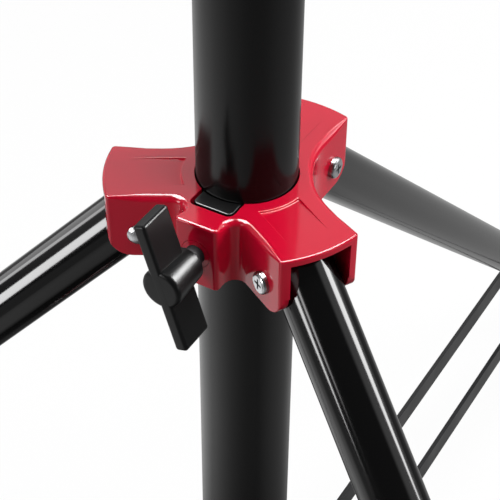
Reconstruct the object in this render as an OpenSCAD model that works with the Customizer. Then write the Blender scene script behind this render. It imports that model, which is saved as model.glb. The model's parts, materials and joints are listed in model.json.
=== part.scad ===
// Crank lighting stand: a three-legged stand with a telescopic mast. A hand winch
// raises the middle column on a steel cable, and the top column is set by hand.
// +Z is up. The origin is on the ground, on the mast's own axis. Sizes are millimetres.

/* [Legs] */
// Length from a leg's pivot to the centre of its round foot
leg_len = 1025; // [900:5:1160]
// Angle between a leg and the mast
leg_tilt = 48.3; // [44:0.1:49]
// Outside diameter of a leg tube
leg_d = 31.5; // [28:0.5:31.5]
// Wall of a leg tube
leg_wall = 2; // [1.5:0.25:3]
// Wall of the rubber boot around the leg's end
boot_wall = 1.45; // [1:0.05:1.5]
// Distance along the leg from its pivot to the brace's pivot
brace_at = 656; // [500:2:700]

/* [Braces] */
// Width of a brace strip
strip_w = 19; // [14:0.5:22]
// Thickness of a brace strip
strip_t = 3.2; // [2:0.2:4]
// How far a brace drops from the hub towards the leg, in degrees
brace_slope = 2.1; // [0:0.1:6]
// Diameter of the bolts that the braces turn on
brace_bolt_d = 8; // [6:0.5:9]

/* [Collar] */
// Height of the sliding collar
collar_h = 36; // [34:0.5:42]
// Width of a collar arm
arm_w = 42; // [42:0.5:46]
// Distance from the mast's axis to the rounded end of an arm
arm_reach = 70; // [68:0.5:80]
// Thickness of the plate over an arm's channel
plate_t = 4; // [3:0.25:5]
// Distance from the mast's axis to a leg's pivot
leg_pivot_r = 52; // [51:0.5:54]
// Depth of a leg's pivot below the collar's top
leg_pivot_drop = 22.5; // [22:0.25:24]
// Radius of the rounded lower corner of an arm's cheek
cheek_corner = 12.5; // [6:0.5:14]
// Radius that rounds the collar's top edge round its middle
edge_r = 3.6; // [2:0.2:4]
// Distance from the mast's axis to the front of the clamp boss
boss_reach = 48; // [46:0.5:52]
// Width of the clamp boss
boss_w = 23.6; // [22:0.2:26]

/* [Clamp knobs] */
// Length of the collar knob's wing
wing_l = 68; // [56:1:76]
// Thickness of the wing
wing_t = 6.8; // [5:0.2:9]
// Depth of the wing along the screw
wing_depth = 20; // [14:0.5:24]
// Turn of the wing from upright
wing_turn = 17.8; // [0:0.1:60]
// Diameter of the knob's hub at its face
knob_hub_d = 21; // [18:0.5:24]
// Diameter of the clamp screw
stud_d = 10; // [8:0.5:11]

/* [Mast] */
// Outside diameter of the outer tube
outer_d = 50; // [50:0.5:52]
// Outside diameter of the middle tube
mid_d = 40; // [39:0.5:40]
// Outside diameter of the top tube
inner_d = 30; // [28:0.5:30]
// Wall of the mast tubes
mast_wall = 2; // [1.5:0.25:2]
// Length of the outer tube
outer_len = 1410; // [1380:5:1600]
// How far the outer tube reaches below the brace hub's pivots
tail_len = 34; // [30:1:60]
// Bore of the socket at the top
socket_d = 28.8; // [26:0.1:30]
// Depth of the socket at the top
socket_depth = 55; // [40:1:70]

/* [Winch] */
// Clear height between the outer sleeve and the winch
winch_gap = 16; // [8:1:24]
// Diameter of the drum's core
drum_core_d = 32; // [28:1:34]
// Diameter of the steel cable
cable_d = 2.4; // [2:0.1:2.6]
// Module of the winch's gears
gear_module = 1.5; // [1.4:0.05:1.6]
// Teeth on the drum's gear
gear_teeth = 45; // [42:3:48]
// Teeth on the crank's pinion
pinion_teeth = 15; // [14:1:16]
// Length of the crank arm
crank_len = 150; // [110:5:170]
// Diameter of the crank's grip
grip_d = 28; // [22:1:34]

/* [Hidden] */
$fn = 64;

// Colours
red_paint = "#b81226";
black_paint = "#161719";
black_plastic = "#1d1e20";
zinc = "#b9bcc0";
rubber = "#151515";
alloy = "#8e9196";
nylon = "#d9d9d4";
steel = "#7d8085";

// Fits
seat_gap = 0.05;      // between pieces fixed to each other
run_gap = 0.05;       // radial, between a pin and what turns on it
slide_gap = 0.3;      // between curved faces that slide
over = 1;             // how far a cutting shape reaches past a face

// Azimuths
left_az = 180;
front_az = 300;
rear_az = 60;
boss_az = 240;
lock_az = 120;

// Heights that follow from the legs and braces
boot_r = leg_d / 2 + seat_gap + boot_wall;
pivot_z = leg_len * cos(leg_tilt) + boot_r;
collar_top = pivot_z + leg_pivot_drop;
brace_joint_r = leg_pivot_r + brace_at * sin(leg_tilt);
brace_joint_z = pivot_z - brace_at * cos(leg_tilt);
hub_pivot_r = outer_d / 2 + 12.5;
brace_len = (brace_joint_r - hub_pivot_r) / cos(brace_slope);
hub_z = brace_joint_z + brace_len * sin(brace_slope);
outer_z0 = hub_z - tail_len;
outer_z1 = outer_z0 + outer_len;

// Pieces round the leg
pin_r = 4;                               // the legs' pivot pins
strip_gap = 1.8;                         // from a leg's side to the strip beside it
strip_y = leg_d / 2 + strip_gap;         // inner face of a strip
brace_pin_r = brace_bolt_d / 2;

// Collar
bore_r = outer_d / 2 + 0.4;
ring_r = bore_r + 6.8;                   // wall of the collar in its plain valleys
arm_half = arm_w / 2;
chan_half = leg_d / 2 + 0.25;
chan_wall_r = bore_r + 7;                // round wall that ends a channel
tip_corner = 2;                          // rounds an arm's upright corners
tip_edge = 1.2;                          // rounds the top edge at an arm's end
boss_half = boss_w / 2;
boss_corner = 2.4;
boss_edge = 1.5;
valley_r = 6;                            // hollow between the boss and an arm
plain_rho = (ring_r * cos(30) - arm_half) / (1 - cos(30));
plain_c = ring_r + plain_rho;
valley_v = boss_half + valley_r;
valley_u = (arm_half + valley_r + valley_v * sin(30)) / cos(30);
tip_u = sqrt(pow(arm_reach - tip_corner, 2) - pow(arm_half - tip_corner, 2));
tip_a = atan2(arm_half - tip_corner, tip_u);
slot_half = 11.7;
slot_reach = bore_r + 9.7;
slot_corner = 3.2;
slot_floor = 3;                          // metal left under the shoe
shoe_half = slot_half - 1.2;
shoe_reach = slot_reach - 1.8;
shoe_gap = 0.3;                          // between the shoe and the mast
knob_drop = 17.5;                        // the clamp screw's depth below the collar's top
knob_foot = boss_reach + 7.5;            // where the knob's hub starts
lock_r = stud_d / 2 - 1;                 // a screw's thinner end, and the mast's lock screws
insert_r = stud_d / 2 + 2.5;
stud_seat = 2;                           // how deep the screw's tip sits in the shoe
pivot_head_r = 5.7;
pivot_head_h = 3;
dome_h = 3.4;                            // height of the domed nut's head
dome_rim = 0.8;                          // height of its straight rim
dome_c = (pow(pivot_head_r, 2) + pow(dome_rim, 2) - pow(dome_h, 2)) / (2 * (dome_h - dome_rim));

// Mast
mid_r = mid_d / 2;
inner_r = inner_d / 2;
outer_bore = outer_d / 2 - mast_wall;
mid_bore = mid_r - mast_wall;
sleeve_low = 48;                         // how far a sleeve reaches down its tube
sleeve_lip = 12;                         // how far it stands above the tube's end
sleeve_wall = 6;
bush_h = 40;
rim_t = 3;                               // rim of a bush on the tube's end
rest_gap = 3;                            // between stacked sleeves when lowered
lock_drop = sleeve_low / 2 + 4;          // a lock screw's depth below its tube's end
mid_z1 = outer_z1 + sleeve_lip + rest_gap + sleeve_low;
plug_h = 13;                             // how far the foot's plug reaches up the outer tube
mid_z0 = outer_z0 + plug_h + 9;
top_z1 = mid_z1 + sleeve_lip + rest_gap + 42;
top_z0 = mid_z0 + 24;
guide_h = 45;
socket_seat = 40;                        // how far the socket reaches down the top tube
socket_wall = 5;
lock_boss_r = 9;
lock_boss_l = 12;

// Winch, in its own frame: x outwards from the mast, y to the side, z up
winch_az = boss_az;
plate = 3;                               // thickness of the frame's steel
saddle_x = outer_d / 2 + 7;              // where the frame's back starts
back_x = saddle_x + plate;
frame_half = 38;
frame_over = 46;                         // how far the frame stands above the drum's axis
drum_z = outer_z1 - sleeve_low - winch_gap - frame_over;
gear_r = gear_module * gear_teeth / 2;
pinion_r = gear_module * pinion_teeth / 2;
drum_x = back_x + gear_r + gear_module + 1.5;
wind_r = drum_core_d / 2 + cable_d / 2 + seat_gap;
cable_x = drum_x - wind_r;
gap_r = (mid_r + outer_bore) / 2;        // the cable's line between the two tubes
pulley_r = (cable_x - gap_r) / 2;
pulley_x = gap_r + pulley_r;
pulley_z = outer_z1 + sleeve_lip - pulley_r - cable_d / 2 + 2;
gear_line = -50;                         // direction from the drum's axis to the crank's
crank_x = drum_x + (gear_r + pinion_r) * cos(gear_line);
crank_z = drum_z + (gear_r + pinion_r) * sin(gear_line);
shaft_r = 6;
ubolt_r = 3;
ubolt_y = outer_d / 2 + seat_gap + ubolt_r;
ubolt_z = drum_z - 4;                    // midway between the two U-bolts
ubolt_dz = 34;
frame_low = crank_z - 22;
frame_top = drum_z + frame_over;
axle_end = frame_half + 5;               // how far the drum's axle reaches through the frame
arm_y = axle_end + 1.5;
arm_t = 6;                               // thickness of the crank's arm
grip_l = 92;                             // length of the crank's grip
grip_y = arm_y + arm_t + 2;
grip_pin_r = 5;
ratchet_teeth = 12;
ratchet_r = 17;
ratchet_y = -26;
ratchet_t = 5;
pawl_pin_r = 3;
pawl_z = crank_z + ratchet_r + 12;       // height of the pawl's pin

// ---------- shared shapes ----------

// Points along an arc, both ends included
function arc(c, r, a0, a1, n) =
  [for (i = [0:n]) c + r * [cos(a0 + (a1 - a0) * i / n), sin(a0 + (a1 - a0) * i / n)]];

// A polygon's corners rounded: p holds [x, y, radius]
function rounded(p, n = 6) = [
  for (i = [0:len(p) - 1])
    let (
      a = p[(i + len(p) - 1) % len(p)],
      b = p[i],
      c = p[(i + 1) % len(p)],
      u = [a[0] - b[0], a[1] - b[1]] / norm([a[0] - b[0], a[1] - b[1]]),
      v = [c[0] - b[0], c[1] - b[1]] / norm([c[0] - b[0], c[1] - b[1]]),
      half = acos(u * v) / 2,
      m = (u + v) / norm(u + v),
      centre = [b[0], b[1]] + m * b[2] / sin(half),
      s = atan2(-m[1], -m[0]),
      turn = (u[0] * v[1] - u[1] * v[0] > 0 ? -1 : 1) * (90 - half)
    )
    each b[2] == 0 ? [[b[0], b[1]]] : arc(centre, b[2], s - turn, s + turn, n)
];

module pipe(r_out, r_in, h) {
  difference() {
    cylinder(r = r_out, h = h);
    translate([0, 0, -over]) cylinder(r = r_in, h = h + 2 * over);
  }
}

// A flat bar with round ends between two points on the x axis
module bar_2d(l, w) {
  translate([0, -w / 2]) square([l, w]);
  circle(d = w);
  translate([l, 0]) circle(d = w);
}

// A rectangle from x0 to x1 with rounded corners at x1
module tongue_2d(x0, x1, half, r) {
  translate([x0, -half]) square([x1 - r - x0, 2 * half]);
  translate([x0, r - half]) square([x1 - x0, 2 * (half - r)]);
  for (s = [-1, 1]) translate([x1 - r, s * (half - r)]) circle(r = r);
}

// Children drawn in the xz plane and thickened from y0 to y1
module side_plate(y0, y1) {
  translate([0, y1, 0]) rotate([90, 0, 0]) linear_extrude(y1 - y0) children();
}

// Children along +Z placed along +Y, from y
module along_y(x, y, z) {
  translate([x, y, z]) rotate([-90, 0, 0]) children();
}

// Children along +Z placed outwards along azimuth az at height z
module outwards(az, z) {
  rotate([0, 0, az]) translate([0, 0, z]) rotate([0, 90, 0]) children();
}

// Children along +Z placed down a leg, from its pivot
module down_leg(az) {
  rotate([0, 0, az]) translate([leg_pivot_r, 0, pivot_z])
    rotate([0, 180 - leg_tilt, 0]) children();
}

module hex_nut(af, h) {
  cylinder(d = af / cos(30), h = h, $fn = 6);
}

// ---------- mast ----------

module outer_tube() {
  color(black_paint) difference() {
    translate([0, 0, outer_z0]) pipe(outer_d / 2, outer_bore, outer_len);
    rotate([0, 0, winch_az]) translate([0, -4.5, pulley_z - pulley_r]) cube([40, 9, 4 * pulley_r]);
    outwards(lock_az, outer_z1 - lock_drop) cylinder(r = stud_d / 2, h = outer_d);
  }
}

module base_plug() {
  color(rubber) translate([0, 0, outer_z0]) {
    rotate_extrude() polygon(concat(
      [[0, plug_h], [0, -5]],
      arc([outer_d / 2 - 2, -3], 2, -90, 0, 5),
      [[outer_d / 2, -seat_gap], [outer_bore - 2 * seat_gap, -seat_gap]],
      [[outer_bore - 2 * seat_gap, plug_h - 2], [outer_bore - 2, plug_h]]
    ));
  }
}

// Ears for the braces stand on a ring that is clamped to the foot of the outer tube
module lower_hub() {
  ear_half = strip_y - slide_gap;
  ear_r = strip_w / 2 + 1;
  color(red_paint) difference() {
    union() {
      translate([0, 0, hub_z - tail_len + 4]) rotate_extrude() polygon(concat(
        [[outer_d / 2 + seat_gap, 0]],
        arc([outer_d / 2 + 5, 2], 2, -90, 0, 4),
        arc([outer_d / 2 + 5, tail_len + 12], 2, 0, 90, 4),
        [[outer_d / 2 + seat_gap, tail_len + 14]]
      ));
      for (az = [left_az, front_az, rear_az]) rotate([0, 0, az]) {
        side_plate(-ear_half, ear_half) {
          translate([hub_pivot_r, hub_z]) circle(r = ear_r);
          translate([outer_d / 2 + 2, hub_z - ear_r])
            square([hub_pivot_r - outer_d / 2 - 2, 2 * ear_r]);
        }
      }
    }
    translate([0, 0, hub_z - 2 * tail_len]) cylinder(r = outer_d / 2 + seat_gap, h = 4 * tail_len);
    for (az = [left_az, front_az, rear_az]) rotate([0, 0, az]) {
      along_y(hub_pivot_r, -30, hub_z) cylinder(r = brace_pin_r + seat_gap, h = 60);
      translate([outer_d / 2 + 7, 5 - ear_half, hub_z - 2 * ear_r])
        cube([3 * ear_r, 2 * (ear_half - 5), 4 * ear_r]);
    }
    for (az = [0, 120, 240])
      outwards(az, hub_z + 6) cylinder(r = 3 + seat_gap, h = 60);
  }
}

// Bolts and nuts that the braces turn on, and three set screws against the tube
module hub_fasteners() {
  grip = strip_y + strip_t + run_gap;
  color(zinc) {
    for (az = [left_az, front_az, rear_az]) rotate([0, 0, az]) {
      along_y(hub_pivot_r, -grip - 5, hub_z) {
        hex_nut(1.6 * brace_bolt_d, 5);
        cylinder(r = brace_pin_r, h = 2 * grip + 9.5);
      }
      along_y(hub_pivot_r, grip, hub_z) difference() {
        hex_nut(1.6 * brace_bolt_d, 6);
        translate([0, 0, -over]) cylinder(r = brace_pin_r + seat_gap, h = 6 + 2 * over);
      }
    }
    for (az = [0, 120, 240])
      outwards(az, hub_z + 6) translate([0, 0, outer_d / 2 + seat_gap]) {
        cylinder(r = 3, h = 9);
        translate([0, 0, 7.5]) cylinder(r = 5, h = 3);
      }
  }
}

// A casting on a tube's end, with a boss for a lock screw
module sleeve(tube_d, slider_d, z1) {
  r = tube_d / 2 + sleeve_wall;
  difference() {
    union() {
      translate([0, 0, z1 - sleeve_low]) rotate_extrude() polygon(concat(
        [[slider_d / 2 + 1, sleeve_low - 6]],
        [[tube_d / 2 - 1, 0]],
        arc([r - 2, 2], 2, -90, 0, 4),
        arc([r - 4, sleeve_low + sleeve_lip - 4], 4, 0, 90, 5),
        [[slider_d / 2 + 1, sleeve_low + sleeve_lip]]
      ));
      outwards(lock_az, z1 - lock_drop)
        cylinder(r1 = lock_boss_r + 2, r2 = lock_boss_r, h = r + lock_boss_l);
    }
    translate([0, 0, z1 - sleeve_low - over])
      cylinder(r = tube_d / 2 + seat_gap, h = sleeve_low + rim_t + over);
    translate([0, 0, z1 - over]) cylinder(r = slider_d / 2 + slide_gap, h = 40);
    outwards(lock_az, z1 - lock_drop) cylinder(r = lock_r + run_gap, h = 2 * r + lock_boss_l);
  }
}

// A bush with a rim, pressed into a tube's end; its slot lets the cable by
module bush(tube_bore, slider_d, z1, slotted) {
  color(nylon) difference() {
    union() {
      translate([0, 0, z1 - bush_h]) cylinder(r = tube_bore - seat_gap, h = bush_h);
      translate([0, 0, z1 + seat_gap]) cylinder(r = tube_bore + mast_wall, h = rim_t - 2 * seat_gap);
      translate([0, 0, z1 - 1]) cylinder(r = tube_bore - seat_gap, h = 2);
    }
    translate([0, 0, z1 - bush_h - over]) cylinder(r = slider_d / 2 + slide_gap, h = bush_h + 10);
    if (slotted)
      rotate([0, 0, winch_az]) translate([0, -5, z1 - bush_h - over]) cube([40, 10, bush_h + 10]);
    outwards(lock_az, z1 - lock_drop) cylinder(r = stud_d / 2, h = 60);
  }
}

module pulley_fork_2d() {
  translate([pulley_x, pulley_z]) circle(r = 12);
  translate([outer_d / 2 + 1, pulley_z - 30]) square([6, 38]);
  polygon([
    [outer_d / 2 + 5, pulley_z - 30], [pulley_x + 10, pulley_z - 6.63325], [pulley_x, pulley_z + 12],
    [outer_d / 2 + 3, pulley_z + 4]
  ]);
}

module outer_sleeve() {
  color(red_paint) difference() {
    union() {
      sleeve(outer_d, mid_d, outer_z1);
      rotate([0, 0, winch_az]) for (s = [-1, 1])
        side_plate(s * 8 - 3, s * 8 + 3) pulley_fork_2d();
    }
    rotate([0, 0, winch_az]) {
      translate([mid_r - 5, -5, pulley_z - 24]) cube([60, 10, 60]);
      along_y(pulley_x, -20, pulley_z) cylinder(r = 3 + seat_gap, h = 40);
    }
    translate([0, 0, outer_z1 - sleeve_low - over])
      cylinder(r = outer_d / 2 + seat_gap, h = sleeve_low + rim_t + over);
    translate([0, 0, outer_z1 - over]) cylinder(r = mid_r + slide_gap, h = 40);
  }
}

module outer_bush() {
  bush(outer_bore, mid_d, outer_z1, true);
}

// The pulley's pin with its head and clip
module sleeve_fasteners() {
  color(zinc) rotate([0, 0, winch_az]) along_y(pulley_x, -14, pulley_z) {
    cylinder(r = 3, h = 27.5);
    cylinder(r = 5, h = 3 - seat_gap);
    translate([0, 0, 25 + seat_gap]) cylinder(r = 4.5, h = 1.5);
  }
}

// A grooved wheel; the cable's line runs just clear of the groove
module lift_pulley() {
  rim = pulley_r + 1.1;
  groove = pulley_r - cable_d / 2 - slide_gap;
  color(nylon) rotate([0, 0, winch_az]) along_y(pulley_x, -4, pulley_z) rotate_extrude() polygon([
    [3 + run_gap, 0], [rim, 0], [rim, 1.4], [groove, 2.6], [groove, 5.4], [rim, 6.6], [rim, 8],
    [3 + run_gap, 8]
  ]);
}

// A wing knob that points outwards from the origin along +Z; x is its up and down
module wing_knob(hub_d, l, t, depth, foot, hub_l) {
  color(black_plastic) difference() {
    union() {
      translate([0, 0, foot]) rotate_extrude() polygon(concat(
        [[0, 0]],
        arc([hub_d / 2 - 2.1, 0.8], 0.8, -90, 0, 3),
        arc([hub_d / 2 - 2.4, hub_l - 2.4], 2.4, 0, 90, 6),
        [[0, hub_l]]
      ));
      translate([0, 0, foot + hub_l - depth]) linear_extrude(depth)
        polygon(rounded([for (q = [[-1, -1], [1, -1], [1, 1], [-1, 1]]) [q[0] * l / 2, q[1] * t / 2, 1.4]]));
    }
    translate([0, 0, foot - over]) cylinder(r = lock_r + seat_gap, h = 12 + over);
  }
}

// The steel screw of a lock knob, with a shoulder against the knob
module lock_stud(tip, foot) {
  color(zinc) translate([0, 0, tip]) {
    cylinder(r = lock_r, h = foot - tip + 11);
    translate([0, 0, foot - tip - 3]) cylinder(r = stud_d / 2 + 2, h = 3 - seat_gap);
  }
}

outer_lock_foot = outer_d / 2 + sleeve_wall + lock_boss_l + 6;
mid_lock_foot = mid_r + sleeve_wall + lock_boss_l + 6;
socket_lock_foot = socket_d / 2 + socket_wall + lock_boss_l + 6;

module at_lock(z) {
  outwards(lock_az, z) rotate([0, 0, wing_turn]) children();
}

// The smaller wing knob of a lock screw
module lock_knob(foot) {
  wing_knob(18, 50, 5.6, 15, foot, 18);
}

module outer_lock_knob() {
  at_lock(outer_z1 - lock_drop) lock_knob(outer_lock_foot);
}

module outer_lock_stud() {
  at_lock(outer_z1 - lock_drop) lock_stud(mid_r + 0.5, outer_lock_foot);
}

module mid_lock_knob() {
  at_lock(mid_z1 - lock_drop) lock_knob(mid_lock_foot);
}

module mid_lock_stud() {
  at_lock(mid_z1 - lock_drop) lock_stud(inner_r + 0.5, mid_lock_foot);
}

module mid_tube() {
  color(black_paint) difference() {
    translate([0, 0, mid_z0]) pipe(mid_r, mid_bore, mid_z1 - mid_z0);
    outwards(lock_az, mid_z1 - lock_drop) cylinder(r = stud_d / 2, h = mid_d);
  }
}

// The sliding guide on the middle tube's foot; the cable's end is held in its notch
module mid_guide() {
  color(nylon) difference() {
    translate([0, 0, mid_z0 - 4]) {
      pipe(outer_bore - slide_gap, mid_r + seat_gap, guide_h);
      pipe(outer_bore - slide_gap, mid_bore - 2, 4 - seat_gap);
    }
    rotate([0, 0, winch_az]) translate([mid_r - 1, -2, mid_z0 + 12]) cube([10, 4, guide_h]);
  }
}

module mid_sleeve() {
  color(red_paint) sleeve(mid_d, inner_d, mid_z1);
}

module mid_bush() {
  bush(mid_bore, inner_d, mid_z1, false);
}

module top_tube() {
  color(black_paint) translate([0, 0, top_z0]) pipe(inner_r, inner_r - mast_wall, top_z1 - top_z0);
}

module top_guide() {
  color(nylon) translate([0, 0, top_z0 - 4]) {
    pipe(mid_bore - slide_gap, inner_r + seat_gap, guide_h);
    pipe(mid_bore - slide_gap, inner_r - mast_wall - 2, 4 - seat_gap);
  }
}

socket_z = top_z1 - socket_seat;
socket_r = socket_d / 2 + socket_wall;
socket_knob_z = top_z1 + socket_depth / 2 + 4;

module top_socket() {
  color(red_paint) difference() {
    union() {
      translate([0, 0, socket_z]) rotate_extrude() polygon(concat(
        [[5, 0]],
        arc([socket_r - 2, 2], 2, -90, 0, 4),
        arc([socket_r - 2, socket_seat + 4 + socket_depth - 2], 2, 0, 90, 5),
        [[5, socket_seat + 4 + socket_depth]]
      ));
      outwards(lock_az, socket_knob_z)
        cylinder(r1 = lock_boss_r + 2, r2 = lock_boss_r, h = socket_r + lock_boss_l);
    }
    translate([0, 0, socket_z - over])
      cylinder(r = inner_r + seat_gap, h = socket_seat + over + seat_gap);
    translate([0, 0, socket_z]) cylinder(r = 10, h = 200);
    translate([0, 0, top_z1 + 4]) cylinder(d = socket_d, h = 200);
    outwards(lock_az, socket_knob_z) cylinder(r = lock_r + run_gap, h = 100);
  }
}

module socket_knob() {
  at_lock(socket_knob_z) lock_knob(socket_lock_foot);
}

module socket_stud() {
  at_lock(socket_knob_z) lock_stud(socket_d / 2 + 0.6, socket_lock_foot);
}

// ---------- winch ----------

module at_winch() {
  rotate([0, 0, winch_az]) children();
}

module winch_saddle() {
  color(alloy) at_winch() difference() {
    side_y = ubolt_y + 8;
    half_h = ubolt_dz + 8;
    waist = ubolt_dz - 16;
    translate([10, -side_y, ubolt_z - half_h])
      cube([saddle_x - 10 - seat_gap, 2 * side_y, 2 * half_h]);
    translate([0, 0, ubolt_z - 2 * half_h]) cylinder(r = outer_d / 2 + seat_gap, h = 4 * half_h);
    for (dz = [-ubolt_dz, ubolt_dz], s = [-1, 1])
      translate([0, s * ubolt_y, ubolt_z + dz]) rotate([0, 90, 0])
        cylinder(r = ubolt_r + seat_gap, h = 60);
    for (s = [0, 1]) mirror([0, s, 0]) translate([-10, outer_d / 2 - 4, ubolt_z - waist])
      cube([saddle_x + 4, side_y, 2 * waist]);
  }
}

// Side plate outline of the winch frame, in its xz plane
frame_front = crank_x + 19;
frame_outline = rounded([
  [saddle_x, frame_low, 4],
  [frame_front, frame_low, 16],
  [frame_front, frame_top - 20, 16],
  [frame_front - 18, frame_top, 16],
  [saddle_x, frame_top, 4]
]);

module winch_frame() {
  color(black_paint) at_winch() difference() {
    union() {
      translate([saddle_x, -frame_half, frame_low])
        cube([plate, 2 * frame_half, frame_top - frame_low]);
      for (s = [-1, 1])
        side_plate(s * (frame_half - plate / 2) - plate / 2, s * (frame_half - plate / 2) + plate / 2)
          polygon(frame_outline);
      // a spacer ties the side plates together at the front
      along_y(frame_front - 14, -frame_half + plate / 2, frame_top - 15)
        cylinder(r = 4, h = 2 * frame_half - plate);
    }
    along_y(drum_x, -60, drum_z) cylinder(r = shaft_r + seat_gap, h = 120);
    along_y(crank_x, -60, crank_z) cylinder(r = shaft_r + run_gap, h = 120);
    along_y(crank_x, -60, pawl_z) cylinder(r = pawl_pin_r + seat_gap, h = 60);
    for (dz = [-ubolt_dz, ubolt_dz], s = [-1, 1])
      translate([0, s * ubolt_y, ubolt_z + dz]) rotate([0, 90, 0])
        cylinder(r = ubolt_r + seat_gap, h = 60);
  }
}

// Two U-bolts round the mast, with their nuts
module winch_clamps() {
  color(zinc) at_winch() for (dz = [-ubolt_dz, ubolt_dz]) translate([0, 0, ubolt_z + dz]) {
    rotate([0, 0, 90]) rotate_extrude(angle = 180)
      translate([ubolt_y, 0]) circle(r = ubolt_r, $fn = 32);
    for (s = [-1, 1]) translate([0, s * ubolt_y, 0]) rotate([0, 90, 0]) {
      cylinder(r = ubolt_r, h = back_x + 9, $fn = 32);
      translate([0, 0, back_x + seat_gap]) difference() {
        hex_nut(10, 5);
        translate([0, 0, -over]) cylinder(r = ubolt_r + seat_gap, h = 5 + 2 * over);
      }
    }
  }
}

// The drum's fixed axle with its nut, and the pawl's pin
module winch_pins() {
  color(zinc) at_winch() {
    along_y(drum_x, -axle_end, drum_z) {
      cylinder(r = shaft_r, h = 2 * axle_end);
      cylinder(r = shaft_r + 4, h = 5 - seat_gap);
    }
    along_y(drum_x, frame_half + seat_gap, drum_z) difference() {
      hex_nut(18, 4.5);
      translate([0, 0, -over]) cylinder(r = shaft_r + seat_gap, h = 6 + 2 * over);
    }
    along_y(crank_x, -frame_half - 2, pawl_z) {
      pawl_clip = frame_half + ratchet_y + ratchet_t + 3;
      cylinder(r = pawl_pin_r, h = pawl_clip + 2.5);
      cylinder(r = pawl_pin_r + 2, h = 2 - seat_gap);
      translate([0, 0, pawl_clip]) cylinder(r = pawl_pin_r + 2, h = 1.5);
    }
  }
}

drum_y0 = -15;
drum_y1 = 12;
flange_r = drum_core_d / 2 + 13;
flange_t = 2.5;

module drum() {
  color(alloy) at_winch() along_y(drum_x, drum_y0, drum_z) rotate_extrude() polygon([
    [shaft_r + run_gap, 0], [flange_r, 0], [flange_r, flange_t], [drum_core_d / 2, flange_t],
    [drum_core_d / 2, drum_y1 - drum_y0 - flange_t], [flange_r, drum_y1 - drum_y0 - flange_t],
    [flange_r, drum_y1 - drum_y0], [12, drum_y1 - drum_y0], [12, drum_y1 - drum_y0 + 2],
    [shaft_r + run_gap, drum_y1 - drum_y0 + 2]
  ]);
}

// Straight-flanked teeth, a little slimmer than half the pitch so that they run free
function gear_points(teeth, m, first) = [
  for (i = [0:teeth - 1])
    let (
      a = first + i * 360 / teeth,
      r = m * teeth / 2,
      half = 0.42 * 180 / teeth,
      root = half + atan(1.25 * m * tan(20) / r),
      tip = half - atan(m * tan(20) / r)
    )
    each [
      (r - 1.25 * m) * [cos(a - root), sin(a - root)],
      (r + m) * [cos(a - tip), sin(a - tip)],
      (r + m) * [cos(a + tip), sin(a + tip)],
      (r - 1.25 * m) * [cos(a + root), sin(a + root)]
    ]
];

gear_y = drum_y1 + 2 + seat_gap;
gear_t = 6;

module drum_gear() {
  color(steel) at_winch() difference() {
    side_plate(gear_y, gear_y + gear_t) translate([drum_x, drum_z])
      polygon(gear_points(gear_teeth, gear_module, gear_line));
    along_y(drum_x, gear_y - over, drum_z) cylinder(r = shaft_r + run_gap, h = gear_t + 2 * over);
    for (i = [0:4]) translate([drum_x, 0, drum_z]) rotate([0, i * 72, 0])
      along_y(gear_r * 0.62, gear_y - over, 0) cylinder(r = gear_r * 0.17, h = gear_t + 2 * over);
  }
}

// The turns that stay on the drum when the mast is down
module cable_winding() {
  pitch = cable_d + 0.1;
  color(steel) at_winch()
    for (i = [1:4]) along_y(drum_x, -i * pitch, drum_z)
      rotate_extrude() translate([wind_r, 0]) circle(d = cable_d, $fn = 24);
}

// The crank's shaft, with the pinion cut on it
module pinion_shaft() {
  color(steel) at_winch() {
    along_y(crank_x, -frame_half - 4, crank_z)
      cylinder(r = shaft_r, h = frame_half + 4 + arm_y + arm_t + 8);
    side_plate(gear_y - 0.5, gear_y + gear_t + 0.5) translate([crank_x, crank_z])
      polygon(gear_points(pinion_teeth, gear_module, gear_line + 180 + 180 / pinion_teeth));
  }
}

module ratchet_wheel() {
  color(steel) at_winch() difference() {
    side_plate(ratchet_y, ratchet_y + ratchet_t) translate([crank_x, crank_z]) polygon([
      for (i = [0:ratchet_teeth - 1]) let (a = 90 + i * 360 / ratchet_teeth) each [
        ratchet_r * [cos(a), sin(a)],
        (ratchet_r - 4) * [cos(a + 2), sin(a + 2)]
      ]
    ]);
    along_y(crank_x, ratchet_y - over, crank_z)
      cylinder(r = shaft_r + seat_gap, h = ratchet_t + 2 * over);
  }
}

// The pawl hangs on its pin just clear of the ratchet and turns down into a tooth
module pawl() {
  color(steel) at_winch() difference() {
    side_plate(ratchet_y, ratchet_y + ratchet_t) translate([crank_x, pawl_z]) {
      circle(r = 6);
      polygon([[-2, -5.6], [9, -12.5], [14, -10.5], [5.5, 2.4]]);
      polygon([[-3, 5.1], [-20, 10], [-20, 4], [-4, -3]]);
    }
    along_y(crank_x, ratchet_y - over, pawl_z)
      cylinder(r = pawl_pin_r + run_gap, h = ratchet_t + 2 * over);
  }
}

module crank_arm() {
  color(black_paint) at_winch() difference() {
    union() {
      side_plate(arm_y, arm_y + arm_t) translate([crank_x, crank_z]) rotate(90) bar_2d(crank_len, 22);
      along_y(crank_x, arm_y - 4, crank_z) cylinder(r = 13, h = arm_t + 6);
    }
    along_y(crank_x, 0, crank_z) cylinder(r = shaft_r + seat_gap, h = 90);
    along_y(crank_x, 0, crank_z + crank_len) cylinder(r = grip_pin_r + seat_gap, h = 90);
  }
}

// The crank's nut, and the pin that the grip turns on
module crank_fasteners() {
  color(zinc) at_winch() {
    along_y(crank_x, arm_y + arm_t + 2 + seat_gap, crank_z) difference() {
      hex_nut(18, 5);
      translate([0, 0, -over]) cylinder(r = shaft_r + seat_gap, h = 8);
    }
    along_y(crank_x, arm_y - 3, crank_z + crank_len) {
      cylinder(r = grip_pin_r, h = 3 + arm_t + grip_l + 3);
      cylinder(r = grip_pin_r + 3, h = 3 - seat_gap);
    }
  }
}

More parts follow.
